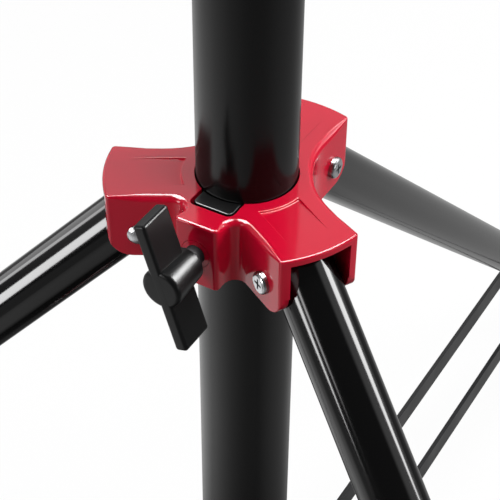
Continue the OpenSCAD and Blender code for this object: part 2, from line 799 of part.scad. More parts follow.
module crank_grip() {
  r = grip_d / 2;
  color(black_plastic) at_winch() along_y(crank_x, grip_y, crank_z + crank_len)
    rotate_extrude() polygon(concat(
      [[grip_pin_r + run_gap, 0]],
      arc([r - 5, 3], 3, -90, 0, 5),
      [for (i = [1:11]) [r - 2 + 2 * sin(i * 15), 3 + (grip_l - 9) * i / 12]],
      arc([r - 8, grip_l - 6], 6, 0, 90, 6),
      [[grip_pin_r + run_gap, grip_l]]
    ));
}

// From the drum up the outside, over the pulley and down between the tubes
module lift_cable() {
  color(steel) at_winch() {
    translate([cable_x, 0, drum_z]) cylinder(d = cable_d, h = pulley_z - drum_z, $fn = 24);
    translate([pulley_x, 0, pulley_z]) rotate([90, 0, 0])
      rotate_extrude(angle = 180) translate([pulley_r, 0]) circle(d = cable_d, $fn = 24);
    translate([gap_r, 0, outer_z1 - 30]) cylinder(d = cable_d, h = pulley_z - outer_z1 + 30, $fn = 24);
  }
}

// The rest of it, down to the middle tube's foot; it shortens as the tube rises
module lift_cable_inner() {
  color(steel) at_winch() translate([gap_r, 0, mid_z0 + 14])
    cylinder(d = cable_d, h = outer_z1 - 30 - seat_gap - mid_z0 - 14, $fn = 24);
}

// ---------- sliding collar ----------

// Points of an outline: [x, y, normal x, normal y, top edge radius]
function run(c, r, a0, a1, n, e0, e1) = [
  for (i = [0:n])
    let (t = i / n, a = a0 + (a1 - a0) * t, s = a1 > a0 ? 1 : -1)
    [c[0] + r * cos(a), c[1] + r * sin(a), s * cos(a), s * sin(a), e0 + (e1 - e0) * t]
];
function spun(p, az) = [
  for (q = p) [
    q[0] * cos(az) - q[1] * sin(az), q[0] * sin(az) + q[1] * cos(az),
    q[2] * cos(az) - q[3] * sin(az), q[2] * sin(az) + q[3] * cos(az), q[4]
  ]
];
function tail(p) = [for (i = [1:len(p) - 1]) p[i]];

// One arm from its clockwise side to the other, round its end
arm_run = concat(
  [[50, -arm_half, 0, -1, edge_r], [57, -arm_half, 0, -1, (edge_r + tip_edge) / 2]],
  run([tip_u, tip_corner - arm_half], tip_corner, -90, -tip_a, 3, tip_edge, tip_edge),
  tail(run([0, 0], arm_reach, -tip_a, tip_a, 8, tip_edge, tip_edge)),
  tail(run([tip_u, arm_half - tip_corner], tip_corner, tip_a, 90, 3, tip_edge, tip_edge)),
  [[57, arm_half, 0, 1, (edge_r + tip_edge) / 2], [50, arm_half, 0, 1, edge_r]]
);
plain_run = run([plain_c, 0], plain_rho, 210, 150, 12, edge_r, edge_r);
boss_run = concat(
  run([valley_u, -valley_v], valley_r, 210, 90, 8, edge_r, edge_r),
  run([boss_reach - boss_corner, boss_corner - boss_half], boss_corner, -90, 0, 4, 1.8, boss_edge),
  run([boss_reach - boss_corner, boss_half - boss_corner], boss_corner, 0, 90, 4, boss_edge, 1.8),
  run([valley_u, valley_v], valley_r, -90, -210, 8, edge_r, edge_r)
);
collar_outline = concat(
  spun(plain_run, 0), spun(arm_run, rear_az),
  spun(plain_run, 120), spun(arm_run, left_az),
  spun(boss_run, boss_az), spun(arm_run, front_az)
);
edge_steps = 4;

// Upright walls whose top edge is rounded by each point's own radius; it stands a little
// proud above and below, where two flat cuts leave one clean face each
module collar_blank() {
  trim = 0.03;
  n = len(collar_outline);
  rings = edge_steps + 2;
  points = [
    for (j = [0:rings - 1], q = collar_outline)
      let (
        a = j == 0 ? 0 : 90 * (j - 1) / edge_steps,
        inset = q[4] * (1 - cos(a)),
        z = j == 0 ? -collar_h - 3 * over : trim - q[4] * (1 - sin(a))
      )
      [q[0] - q[2] * inset, q[1] - q[3] * inset, z]
  ];
  sides = [
    for (j = [0:rings - 2], i = [0:n - 1])
      let (a = j * n + i, b = j * n + (i + 1) % n)
      each [[a, b + n, b], [a, a + n, b + n]]
  ];
  bottom = [for (i = [0:n - 1]) i];
  top = [for (i = [n - 1:-1:0]) (rings - 1) * n + i];
  intersection() {
    polyhedron(points, concat(sides, [bottom, top]));
    translate([-2 * arm_reach, -2 * arm_reach, -collar_h])
      cube([4 * arm_reach, 4 * arm_reach, collar_h]);
  }
}

// A shallow panel in an arm's top that fades out towards the arm's end
module arm_panel() {
  translate([chan_wall_r - 1, 0, -1.1]) rotate([0, -2.4, 0]) translate([1 - chan_wall_r, 0, 0])
    linear_extrude(6) difference() {
      translate([chan_wall_r - 4, -10.7]) square([40, 21.4]);
      circle(r = chan_wall_r - 0.4);
    }
}

module collar() {
  color(red_paint) translate([0, 0, collar_top]) difference() {
    collar_blank();
    translate([0, 0, -collar_h - over]) cylinder(r = bore_r, h = collar_h + 2 * over);
    for (az = [left_az, front_az, rear_az]) rotate([0, 0, az]) {
      // the leg's channel, open below and at the end
      difference() {
        translate([0, -chan_half, -collar_h - over])
          cube([arm_reach + 10, 2 * chan_half, collar_h + over - plate_t]);
        translate([0, 0, -collar_h - 2 * over]) cylinder(r = chan_wall_r, h = collar_h + 2 * over);
      }
      // rounded lower corners of the cheeks
      translate([tip_u + tip_corner - cheek_corner, 0, cheek_corner - collar_h]) difference() {
        translate([0, -60, -cheek_corner - over]) cube([60, 120, cheek_corner + over]);
        along_y(0, -70, 0) cylinder(r = cheek_corner, h = 140);
      }
      along_y(leg_pivot_r, -60, -leg_pivot_drop) cylinder(r = pin_r + seat_gap, h = 120);
      arm_panel();
    }
    rotate([0, 0, boss_az]) {
      translate([0, 0, slot_floor - collar_h]) linear_extrude(collar_h + over)
        tongue_2d(10, slot_reach, slot_half, slot_corner);
      translate([0, 0, -knob_drop]) rotate([0, 90, 0]) cylinder(r = insert_r + seat_gap, h = 100);
    }
  }
}

module at_boss() {
  outwards(boss_az, collar_top - knob_drop) children();
}

module knob_insert() {
  color(zinc) at_boss() translate([0, 0, slot_reach + seat_gap])
    pipe(insert_r, stud_d / 2 + run_gap, boss_reach - slot_reach);
}

// The plastic shoe that the screw presses against the mast
module clamp_shoe() {
  color(black_plastic) difference() {
    rotate([0, 0, boss_az]) translate([0, 0, collar_top - collar_h + slot_floor + 0.5])
      linear_extrude(collar_h - slot_floor - 0.8) difference() {
        tongue_2d(10, shoe_reach, shoe_half, 2.6);
        circle(r = outer_d / 2 + shoe_gap, $fn = 128);
      }
    at_boss() translate([0, 0, shoe_reach - stud_seat]) cylinder(r = stud_d / 2 + run_gap, h = 20);
  }
}

module collar_knob() {
  at_boss() rotate([0, 0, wing_turn])
    wing_knob(knob_hub_d, wing_l, wing_t, wing_depth, knob_foot, 23);
}

module collar_stud() {
  color(zinc) at_boss() {
    translate([0, 0, shoe_reach - stud_seat + 0.2])
      cylinder(r = stud_d / 2, h = knob_foot - shoe_reach + stud_seat - 1);
    translate([0, 0, knob_foot - 3]) cylinder(r = stud_d / 2 + 1.5, h = 3 - seat_gap);
    translate([0, 0, knob_foot - 2]) cylinder(r = lock_r, h = 12);
  }
}

// Sleeve nuts and pan-head screws through the collar's cheeks
module leg_pivot_bolts() {
  color(zinc) translate([0, 0, pivot_z]) for (az = [left_az, front_az, rear_az]) rotate([0, 0, az]) {
    along_y(leg_pivot_r, -arm_half - seat_gap, 0) {
      cylinder(r = pin_r, h = 2 * arm_half + 2 * seat_gap);
      difference() {
        rotate([180, 0, 0]) rotate_extrude() polygon(concat(
          [[0, 0], [pivot_head_r, 0]],
          arc([pivot_head_r - 1.6, pivot_head_h - 1.6], 1.6, 0, 90, 4),
          [[0, pivot_head_h]]
        ));
        for (a = [0, 90]) rotate([0, 0, a]) translate([-3, -0.65, -pivot_head_h - over])
          cube([6, 1.3, 1.6 + over]);
      }
      translate([0, 0, 2 * arm_half + 2 * seat_gap]) rotate_extrude() polygon(concat(
        [[0, 0], [pivot_head_r, 0]],
        arc([0, -dome_c], dome_c + dome_h, atan2(dome_c + dome_rim, pivot_head_r), 90, 6)
      ));
    }
  }
}

// ---------- legs and braces ----------

leg_end = 5;          // how far a leg reaches past its pivot
foot_solid = 10;      // rubber between the tube's end and the round foot's centre

module leg_tube(az) {
  color(black_paint) down_leg(az) difference() {
    translate([0, 0, -leg_end]) pipe(leg_d / 2, leg_d / 2 - leg_wall, leg_len + leg_end - foot_solid);
    along_y(0, -30, 0) cylinder(r = pin_r + seat_gap, h = 60);
    along_y(0, -30, brace_at) cylinder(r = brace_pin_r + seat_gap, h = 60);
  }
}

module leg_plug(az) {
  r = leg_d / 2;
  color(black_plastic) down_leg(az) difference() {
    translate([0, 0, -leg_end]) rotate_extrude() polygon([
      [0, -2], [r - 1.5, -2], [r, -0.8], [r, -seat_gap], [r - leg_wall - seat_gap, -seat_gap],
      [r - leg_wall - seat_gap, 48], [r - leg_wall - 2, 50], [0, 50]
    ]);
    along_y(0, -30, 0) cylinder(r = pin_r + run_gap, h = 60);
  }
}

// A pin through the leg, with a washer each side that keeps the strips off the tube
module leg_brace_pivot(az) {
  face = strip_y - slide_gap;
  color(zinc) down_leg(az) {
    along_y(0, -face, brace_at) cylinder(r = brace_pin_r, h = 2 * face);
    for (s = [0, 1]) mirror([0, s, 0]) difference() {
      along_y(0, face / 2, brace_at) cylinder(r = strip_w / 2 - 0.5, h = face / 2);
      translate([0, 0, brace_at - 20]) cylinder(r = leg_d / 2 + seat_gap, h = 40);
      along_y(0, -30, brace_at) cylinder(r = brace_pin_r + seat_gap, h = 60);
    }
  }
}

module foot(az) {
  bore = leg_d / 2 + seat_gap;
  groove = 0.7;
  ribs = [for (i = [0:3], q = [[0, 0], [1, groove], [3, groove], [4, 0]])
    [boot_r - q[1], -40 + 8 * i + q[0]]];
  color(rubber) down_leg(az) translate([0, 0, leg_len]) rotate_extrude() polygon(concat(
    [[0, -foot_solid + seat_gap], [bore, -foot_solid + seat_gap], [bore, -52]],
    [[boot_r - 0.6, -52], [boot_r, -50.5]],
    ribs,
    [for (i = [0:12]) boot_r * [cos(i * 7.5), sin(i * 7.5)]]
  ));
}

// Two flat strips, one each side of the leg, and the rivets in their outer ends
module brace(az) {
  color(black_paint) rotate([0, 0, az]) translate([hub_pivot_r, 0, hub_z]) rotate([0, brace_slope, 0]) {
    for (s = [-1, 1]) {
      difference() {
        side_plate(s > 0 ? strip_y : -strip_y - strip_t, s > 0 ? strip_y + strip_t : -strip_y)
          bar_2d(brace_len, strip_w);
        along_y(0, -40, 0) cylinder(r = brace_pin_r + run_gap, h = 80);
        along_y(brace_len, -40, 0) cylinder(r = brace_pin_r + seat_gap, h = 80);
      }
      mirror([0, s > 0 ? 0 : 1, 0]) along_y(brace_len, strip_y + 0.3, 0) {
        cylinder(r = brace_pin_r, h = strip_t);
        translate([0, 0, strip_t - 0.3 + seat_gap]) rotate_extrude() polygon(concat(
          [[0, 0], [7, 0], [7, 0.8]],
          arc([0, -5.5], 9.4, 42, 90, 5)
        ));
      }
    }
  }
}

// ---------- assembly ----------

outer_tube();
base_plug();
lower_hub();
hub_fasteners();
outer_sleeve();
outer_bush();
sleeve_fasteners();
outer_lock_knob();
outer_lock_stud();
winch_saddle();
winch_frame();
winch_clamps();
winch_pins();
drum();
drum_gear();
cable_winding();
pinion_shaft();
ratchet_wheel();
pawl();
crank_arm();
crank_fasteners();
crank_grip();
lift_pulley();
lift_cable();
lift_cable_inner();
mid_tube();
mid_guide();
mid_sleeve();
mid_bush();
mid_lock_knob();
mid_lock_stud();
top_tube();
top_guide();
top_socket();
socket_knob();
socket_stud();
collar();
knob_insert();
clamp_shoe();
collar_knob();
collar_stud();
leg_pivot_bolts();
leg_tube(left_az);  // leg_tube_left
leg_plug(left_az);  // leg_plug_left
leg_brace_pivot(left_az);  // leg_brace_pivot_left
foot(left_az);  // foot_left
brace(left_az);  // brace_left
leg_tube(front_az);  // leg_tube_front
leg_plug(front_az);  // leg_plug_front
leg_brace_pivot(front_az);  // leg_brace_pivot_front
foot(front_az);  // foot_front
brace(front_az);  // brace_front
leg_tube(rear_az);  // leg_tube_rear
leg_plug(rear_az);  // leg_plug_rear
leg_brace_pivot(rear_az);  // leg_brace_pivot_rear
foot(rear_az);  // foot_rear
brace(rear_az);  // brace_rear
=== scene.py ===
# %% [markdown]
# # A crank lighting stand
#
# The stand holds a lamp over a stage. Three tube legs hang on a red cast collar that slides
# on a black mast, flat braces tie them to a hub at the mast's foot, and a hand winch near
# the top raises the inner tubes on a steel cable.
#
# Every rigid piece comes ready-made from the construction model. This lesson gives the
# pieces their finishes, dresses the few that need a softer edge, and lights the stand in a
# white studio.

# %% Load the stand
import bpy, bmesh, json, math
from mathutils import Vector, Matrix

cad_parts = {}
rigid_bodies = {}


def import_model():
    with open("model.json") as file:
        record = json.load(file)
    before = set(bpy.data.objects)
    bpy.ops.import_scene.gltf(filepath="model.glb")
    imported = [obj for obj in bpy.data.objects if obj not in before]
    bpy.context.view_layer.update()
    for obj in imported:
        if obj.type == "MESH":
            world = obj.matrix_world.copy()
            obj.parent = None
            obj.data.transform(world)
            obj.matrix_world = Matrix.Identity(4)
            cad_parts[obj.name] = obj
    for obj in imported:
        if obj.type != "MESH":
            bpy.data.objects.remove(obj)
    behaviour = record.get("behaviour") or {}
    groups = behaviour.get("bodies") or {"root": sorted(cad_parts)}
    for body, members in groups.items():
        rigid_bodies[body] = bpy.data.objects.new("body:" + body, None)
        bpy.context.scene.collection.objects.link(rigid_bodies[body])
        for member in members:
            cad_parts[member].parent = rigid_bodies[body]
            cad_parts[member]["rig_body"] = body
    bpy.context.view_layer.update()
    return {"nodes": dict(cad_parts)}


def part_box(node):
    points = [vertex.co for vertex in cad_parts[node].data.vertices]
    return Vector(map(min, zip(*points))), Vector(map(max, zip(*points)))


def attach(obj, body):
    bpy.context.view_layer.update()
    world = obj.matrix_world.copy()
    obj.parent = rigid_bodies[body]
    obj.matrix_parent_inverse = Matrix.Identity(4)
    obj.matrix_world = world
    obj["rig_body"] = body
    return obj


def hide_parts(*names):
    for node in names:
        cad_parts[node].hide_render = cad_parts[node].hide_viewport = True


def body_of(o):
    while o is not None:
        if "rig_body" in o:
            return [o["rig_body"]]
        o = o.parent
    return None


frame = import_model()
nodes = frame["nodes"]
print("loaded", len(nodes), "pieces")

# %% [markdown]
# ## Helpers for shader nodes
#
# The finishes, the room and the floor are all built from the same few nodes. They could be
# added and linked one by one, but that is long and hides the sum. Each helper adds one node
# to a tree, fills its sockets and hands back its output, so that a formula reads as a
# formula. A term is a number or the output of another node.

# %% Calculate with numbers
def fill(tree, socket, term):
    if isinstance(term, (int, float)):
        socket.default_value = term
    else:
        tree.links.new(term, socket)

def value(tree, operation, *terms, clamp=False):
    node = tree.nodes.new("ShaderNodeMath")
    node.operation = operation
    node.use_clamp = clamp
    for socket, term in zip(node.inputs, terms):
        fill(tree, socket, term)
    return node.outputs[0]

def remap(tree, x, low, high, to_low=0.0, to_high=1.0, curve="SMOOTHSTEP"):
    node = tree.nodes.new("ShaderNodeMapRange")
    node.interpolation_type = curve
    for name, term in (("Value", x), ("From Min", low), ("From Max", high),
                       ("To Min", to_low), ("To Max", to_high)):
        fill(tree, node.inputs[name], term)
    return node.outputs[0]

# %% Darken a colour, and make noise that stays put on its piece
def scaled(tree, colour, factor):
    node = tree.nodes.new("ShaderNodeVectorMath")
    node.operation = "SCALE"
    tree.links.new(colour, node.inputs[0])
    tree.links.new(factor, node.inputs["Scale"])
    return node.outputs[0]

def noise(tree, scale, detail):
    place = tree.nodes.new("ShaderNodeTexCoord")
    node = tree.nodes.new("ShaderNodeTexNoise")
    node.inputs["Detail"].default_value = detail
    fill(tree, node.inputs["Scale"], scale)
    tree.links.new(place.outputs["Object"], node.inputs["Vector"])
    return node.outputs["Fac"]

# %% [markdown]
# ## Finishes
#
# A painted surface is never one flat colour. Each finish below starts from its base colour
# and lets slow noise shift the shade and the roughness a little. An image could do the same,
# but noise needs no unwrapping and has no seams. It reads Object coordinates, so it stays
# put on the piece when the stand folds. All the finishes share it, so it is a node group.

# %% A shared effect: slow drift of shade and roughness
def drift_group():
    group = bpy.data.node_groups.new("drift", "ShaderNodeTree")
    for name, kind in (("Colour", "Color"), ("Scale", "Float"), ("Amount", "Float"),
                       ("Rough low", "Float"), ("Rough high", "Float")):
        group.interface.new_socket(name, in_out="INPUT", socket_type="NodeSocket" + kind)
    for name, kind in (("Colour", "Color"), ("Roughness", "Float")):
        group.interface.new_socket(name, in_out="OUTPUT", socket_type="NodeSocket" + kind)
    given = group.nodes.new("NodeGroupInput").outputs
    result = group.nodes.new("NodeGroupOutput").inputs
    cloud = noise(group, given["Scale"], detail=4)
    swing = value(group, "SUBTRACT", cloud, 0.5)
    shade = value(group, "MULTIPLY_ADD", swing, given["Amount"], 1.0)
    group.links.new(scaled(group, given["Colour"], shade), result["Colour"])
    rough = remap(group, cloud, 0.3, 0.7, given["Rough low"], given["Rough high"], "LINEAR")
    group.links.new(rough, result["Roughness"])
    return group

drift = drift_group()
print("made the drift effect with", len(drift.nodes), "nodes")

# %% [markdown]
# A finish is a base colour, the lowest and highest roughness, the size and strength of the
# drift, and what only some surfaces have: metal, a stronger or weaker gloss, and a fine
# bump for the skin of paint, rubber or a casting. Only the red also has a value below 1 for
# how much of its colour other glossy pieces mirror, which keeps the black mast black.

# %% A finish from its base colour
bump_depth = 0.0004

def finish(name, colour, low, high, scale=20, amount=0.1, metallic=0.0, specular=0.5,
           bump=0.0, bump_scale=400, mirrored=1.0):
    material = bpy.data.materials.new(name)
    material.use_nodes = True
    tree = material.node_tree
    shader = tree.nodes["Principled BSDF"]
    effect = tree.nodes.new("ShaderNodeGroup")
    effect.node_tree = drift
    for socket, setting in (("Colour", (*colour, 1)), ("Scale", scale), ("Amount", amount),
                            ("Rough low", low), ("Rough high", high)):
        effect.inputs[socket].default_value = setting
    shade = effect.outputs["Colour"]
    # seen in gloss the colour is darker: a painted shade on this piece's reflections in others
    if mirrored < 1:
        glossy = tree.nodes.new("ShaderNodeLightPath").outputs["Is Glossy Ray"]
        shade = scaled(tree, shade, value(tree, "MULTIPLY_ADD", glossy, mirrored - 1, 1.0))
    tree.links.new(shade, shader.inputs["Base Color"])
    tree.links.new(effect.outputs["Roughness"], shader.inputs["Roughness"])
    shader.inputs["Metallic"].default_value = metallic
    shader.inputs["Specular IOR Level"].default_value = specular
    if bump:
        lift = tree.nodes.new("ShaderNodeBump")
        lift.inputs["Strength"].default_value = bump
        lift.inputs["Distance"].default_value = bump_depth
        tree.links.new(noise(tree, bump_scale, detail=3), lift.inputs["Height"])
        tree.links.new(lift.outputs["Normal"], shader.inputs["Normal"])
    return material

# %% [markdown]
# The castings wear a deep red enamel, the tubes of the mast a satin black, the legs a black
# so glossy that it mirrors the studio, and the braces a duller black. Clear lacquer over the
# paint would be one more layer, but a low roughness alone gives the same sharp streaks. The
# legs' specular level of 1 makes what they mirror brighter and leaves the paint itself as
# black as it was.

# %% Paints
# the red is darker where other pieces mirror it, a painted shade on its reflections
red_paint = finish("red gloss paint", (0.56, 0.003, 0.026), 0.1, 0.15, 12, 0.12,
                   bump=0.03, bump_scale=180, mirrored=0.35)
mast_paint = finish("satin black mast paint", (0.0025, 0.0025, 0.0026), 0.2, 0.27, 9, 0.25,
                    bump=0.02, bump_scale=500)
leg_paint = finish("gloss black leg paint", (0.0015, 0.0015, 0.0016), 0.08, 0.12, 9, 0.25,
                   specular=1.0)
strip_paint = finish("satin black brace paint", (0.012, 0.012, 0.013), 0.34, 0.44, 25, 0.25)
for made in (red_paint, mast_paint, leg_paint, strip_paint):
    print("paint:", made.name)

# %% [markdown]
# The knobs, the grip and the plugs in the legs are moulded in a black plastic with a fine
# grain, the clamp's shoe in a smoother one. The bushes, guides and pulley are white nylon,
# which slides without grease, and the feet and the mast's plug are rubber, which has little
# gloss.

# %% Plastics and rubber
black_plastic = finish("moulded black plastic", (0.004, 0.004, 0.0042), 0.3, 0.36, 60, 0.2,
                       bump=0.06, bump_scale=900, specular=0.36)
shoe_plastic = finish("smooth black plastic", (0.006, 0.006, 0.0063), 0.2, 0.26, 60, 0.2)
nylon = finish("white nylon", (0.72, 0.72, 0.7), 0.4, 0.5, 40, 0.05)
rubber = finish("black rubber", (0.02, 0.02, 0.02), 0.6, 0.7, 60, 0.2, bump=0.2)
for made in (black_plastic, shoe_plastic, nylon, rubber):
    print("moulded:", made.name)

# %% [markdown]
# Bare metal has no colour of its own under the gloss: its base colour tints what it
# mirrors, so Metallic is 1. Most screws are zinc plated, the winch's saddle and drum are
# cast, and its wheels are turned from steel. The collar's screw is blackened, and part of
# what it shows is that dark skin, so its Metallic is lower.

# %% Metals
zinc = finish("bright zinc", (0.75, 0.76, 0.78), 0.22, 0.32, 150, 0.1, metallic=1.0)
cast_alloy = finish("cast alloy", (0.55, 0.56, 0.58), 0.35, 0.45, 90, 0.1, metallic=1.0,
                    bump=0.2, bump_scale=600)
steel = finish("turned steel", (0.48, 0.49, 0.51), 0.28, 0.4, 80, 0.15, metallic=1.0)
black_oxide = finish("black oxide steel", (0.03, 0.03, 0.032), 0.3, 0.4, 120, 0.2,
                     metallic=0.6)
wire = finish("galvanised wire", (0.45, 0.46, 0.48), 0.4, 0.5, 900, 0.4, metallic=1.0)
for made in (zinc, cast_alloy, steel, black_oxide, wire):
    print("metal:", made.name)

# %% [markdown]
# Each piece comes with a plain colour in its material slot. Its finish takes that place, so
# the meshes themselves aren't touched.

# %% Which piece wears which finish
legs = ("left", "front", "rear")
wearers = {
    red_paint: ["lower_hub", "outer_sleeve", "mid_sleeve", "top_socket", "collar",
                "knob_insert"],
    mast_paint: ["outer_tube", "mid_tube", "top_tube", "winch_frame", "crank_arm"],
    leg_paint: ["leg_tube_" + leg for leg in legs],
    strip_paint: ["brace_" + leg for leg in legs],
    black_plastic: ["collar_knob", "outer_lock_knob", "mid_lock_knob", "socket_knob",
                    "crank_grip", *("leg_plug_" + leg for leg in legs)],
    shoe_plastic: ["clamp_shoe"],
    nylon: ["outer_bush", "mid_bush", "mid_guide", "top_guide", "lift_pulley"],
    rubber: ["base_plug", *("foot_" + leg for leg in legs)],
    zinc: ["hub_fasteners", "sleeve_fasteners", "winch_clamps", "winch_pins",
           "outer_lock_stud", "mid_lock_stud", "socket_stud", "leg_pivot_bolts",
           "crank_fasteners", *("leg_brace_pivot_" + leg for leg in legs)],
    cast_alloy: ["winch_saddle", "drum"],
    steel: ["drum_gear", "pinion_shaft", "ratchet_wheel", "pawl"],
    black_oxide: ["collar_stud"],
    wire: ["cable_winding", "lift_cable", "lift_cable_inner"],
}
for material, names in wearers.items():
    for name in names:
        for slot in nodes[name].material_slots:
            slot.material = material
print("painted", sum(len(names) for names in wearers.values()), "of", len(nodes), "pieces")

# %% [markdown]
# ## Pieces that stand in for plain ones
#
# A dressed piece takes the place of a plain one and moves with the same body. Its faces are
# smooth, and the Weighted Normal modifier then lets the large faces decide the shading, so
# that they look flat and only the rounded edges between them look round.

# %% Hand over from a plain piece to its dressed one
body_of_node = {name: body_of(node)[0] for name, node in nodes.items()}

def stand_in(bm, node, suffix, material):
    for face in bm.faces:
        face.smooth = True
    mesh = bpy.data.meshes.new(node + suffix)
    bm.to_mesh(mesh)
    bm.free()
    mesh.materials.append(material)
    piece = bpy.data.objects.new(node + suffix, mesh)
    bpy.context.scene.collection.objects.link(piece)
    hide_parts(node)
    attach(piece, body_of_node[node])
    return piece

def keep_faces_flat(piece):
    shade = piece.modifiers.new("flat faces stay flat", "WEIGHTED_NORMAL")
    shade.weight = 80

# %% [markdown]
# ## Softer edges
#
# Moulded and cast pieces have no knife edges. The collar is an alloy casting under paint,
# and the clamp's shoe is a small block of plastic. A copy of the piece is merged into one
# surface, its flat faces are joined up, and a Bevel modifier rounds every edge that is
# sharper than a given angle. The modifier suits them better than a bevel by hand, because
# it finds the edges by itself and leaves the copy's mesh simple.

# %% Soften a piece
def softened(name, width, angle=35):
    source = nodes[name]
    bm = bmesh.new()
    bm.from_mesh(source.data)
    bmesh.ops.remove_doubles(bm, verts=bm.verts, dist=2e-6)
    bmesh.ops.dissolve_limit(bm, angle_limit=math.radians(0.5), verts=bm.verts, edges=bm.edges)
    piece = stand_in(bm, name, "_soft", source.material_slots[0].material)
    bevel = piece.modifiers.new("soft edges", "BEVEL")
    bevel.width = width
    bevel.segments = 2
    bevel.limit_method = "ANGLE"
    bevel.angle_limit = math.radians(angle)
    bevel.use_clamp_overlap = False
    keep_faces_flat(piece)
    print(name, len(piece.data.polygons), "faces")

softened("clamp_shoe", width=0.0006)
softened("collar", width=0.0004, angle=32)

# %% [markdown]
# ## Wing knobs
#
# A wing knob is moulded in one piece: a round hub that widens towards its face, and a flat
# wing across it, with every edge well rounded for the fingers. The hub is a profile spun
# round the screw's axis. The wing is a stretched cube. Both get their edges rounded with
# the bevel operator, and the wing stands a hair proud of the hub's face.

# %% Round some edges of a knob
def rounded(bm, edges, offset):
    bmesh.ops.bevel(bm, geom=edges, offset=offset, offset_type="OFFSET", affect="EDGES",
                    segments=5, profile=0.5, material=-1)

# %% The knob's hub, spun about Z with its foot at the origin
hub_taper, foot_round, face_round = 0.0013, 0.0009, 0.0024

def add_hub(bm, radius, length):
    profile = [(0, 0), (radius - hub_taper, 0), (radius, length), (0, length)]
    corners = [bm.verts.new((r, 0, z)) for r, z in profile]
    edges = [bm.edges.new(pair) for pair in zip(corners, corners[1:])]
    bmesh.ops.spin(bm, geom=corners + edges, cent=(0, 0, 0), axis=(0, 0, 1),
                   angle=math.tau, steps=64, use_merge=True)
    bmesh.ops.remove_doubles(bm, verts=bm.verts, dist=1e-6)
    for level, offset in ((0, foot_round), (length, face_round)):
        rim = [edge for edge in bm.edges
               if all(abs(v.co.z - level) < 1e-6 and v.co.to_2d().length > 0.002
                      for v in edge.verts)]
        rounded(bm, rim, offset)

# %% The knob's wing, across the hub's face
wing_round, wing_proud = 0.0017, 0.00003

def add_wing(bm, size, hub_length):
    made = bmesh.ops.create_cube(bm, size=1.0)["verts"]
    bmesh.ops.scale(bm, verts=made, vec=size)
    depth = size[2]
    bmesh.ops.translate(bm, verts=made, vec=(0, 0, hub_length - depth / 2 + wing_proud))
    rounded(bm, list({edge for v in made for edge in v.link_edges}), wing_round)

# %% [markdown]
# The knob is shaped upright at the origin and then laid along its screw. The plain knob
# tells where: how far out its foot starts, measured along the screw, and how high its
# middle is. The wing's turn about the screw is how far the screw is tightened.

# %% Shape a knob and lay it along its screw
wing_turn = math.radians(17.8)

def wing_knob(node, azimuth, hub_radius, hub_length, wing_size):
    bearing = math.radians(azimuth)
    axis = Vector((math.cos(bearing), math.sin(bearing), 0))
    foot = min(v.co.dot(axis) for v in nodes[node].data.vertices)
    low, high = (Vector(corner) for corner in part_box(node))
    middle = (low.z + high.z) / 2
    bm = bmesh.new()
    add_hub(bm, hub_radius, hub_length)
    add_wing(bm, wing_size, hub_length)
    bmesh.ops.recalc_face_normals(bm, faces=bm.faces)
    outward = (Matrix.Rotation(bearing, 4, "Z") @ Matrix.Translation((0, 0, middle))
               @ Matrix.Rotation(math.pi / 2, 4, "Y") @ Matrix.Rotation(wing_turn, 4, "Z")
               @ Matrix.Translation((0, 0, foot)))
    bmesh.ops.transform(bm, matrix=outward, verts=bm.verts)
    piece = stand_in(bm, node, "_moulded", black_plastic)
    keep_faces_flat(piece)
    tall = max(v.co.z for v in piece.data.vertices) - min(v.co.z for v in piece.data.vertices)
    print(node, "foot", round(foot, 4), "height", round(tall, 4),
          "plain", round(high.z - low.z, 4))
    return piece

collar_knob = wing_knob("collar_knob", 240, 0.0105, 0.023, (0.0695, 0.0068, 0.020))
for name in ("outer_lock_knob", "mid_lock_knob", "socket_knob"):
    wing_knob(name, 120, 0.009, 0.018, (0.0505, 0.0056, 0.015))

# %% [markdown]
# ## A studio painted into the world
#
# Gloss black paint shows the room it stands in, so the room matters more than the lamps.
# The camera sees plain white. Everything else sees a dark front, a pale back and a few
# bright softboxes, each one a rectangle of directions: its heading (0 is the front, positive
# to the right) and its height above the horizon, in degrees. The long streaks on the legs
# are these rectangles, stretched by the round tubes. Real panels with light on them would
# do as well, but they would stand in the camera's way when it goes round the stand.

# %% The softboxes
# heading from and to, height from and to, softness of the edges, strength
softboxes = {
    "front left": (-76, -53, 1, 19, 1.2, 8),
    "front left strip": (-47, -42, 15, 26, 2, 4.5),
    "back left": (-153, -119, -14, 15, 2, 1.2),
    "back left edge": (-118, -107, 4, 18, 2, 3.6),
    "right": (93, 108, 13, 31, 1.5, 8),
    "right low": (52, 71, -5, 14, 3, 1.6),
    "back wall left": (-190, -146, 16, 43, 4, 1.2),
    "back wall right": (152, 190, 16, 50, 4, 0.75),
    "left wall": (-146, -52, 18, 58, 8, 0.28),
    "right wall": (66, 152, 4, 62, 8, 0.42),
    "right rear": (108, 126, 12, 40, 3, 1.8),
}
# the patch straight above is for gloss alone, so that it doesn't light the floor
above = (-200, 200, 80, 95, 3, 3.5)

def softbox_seen(tree, heading, height, box):
    left, right, bottom, top, soft, strength = box
    across = value(tree, "MULTIPLY", remap(tree, heading, left - soft, left + soft),
                   remap(tree, heading, right - soft, right + soft, 1, 0))
    upright = value(tree, "MULTIPLY", remap(tree, height, bottom - soft, bottom + soft),
                    remap(tree, height, top - soft, top + soft, 1, 0))
    return value(tree, "MULTIPLY", value(tree, "MULTIPLY", across, upright), strength)

# %% How far a direction points along an axis
def along(tree, term, direction):
    node = tree.nodes.new("ShaderNodeVectorMath")
    node.operation = "DOT_PRODUCT"
    tree.links.new(term, node.inputs[0])
    node.inputs[1].default_value = direction
    return node.outputs["Value"]

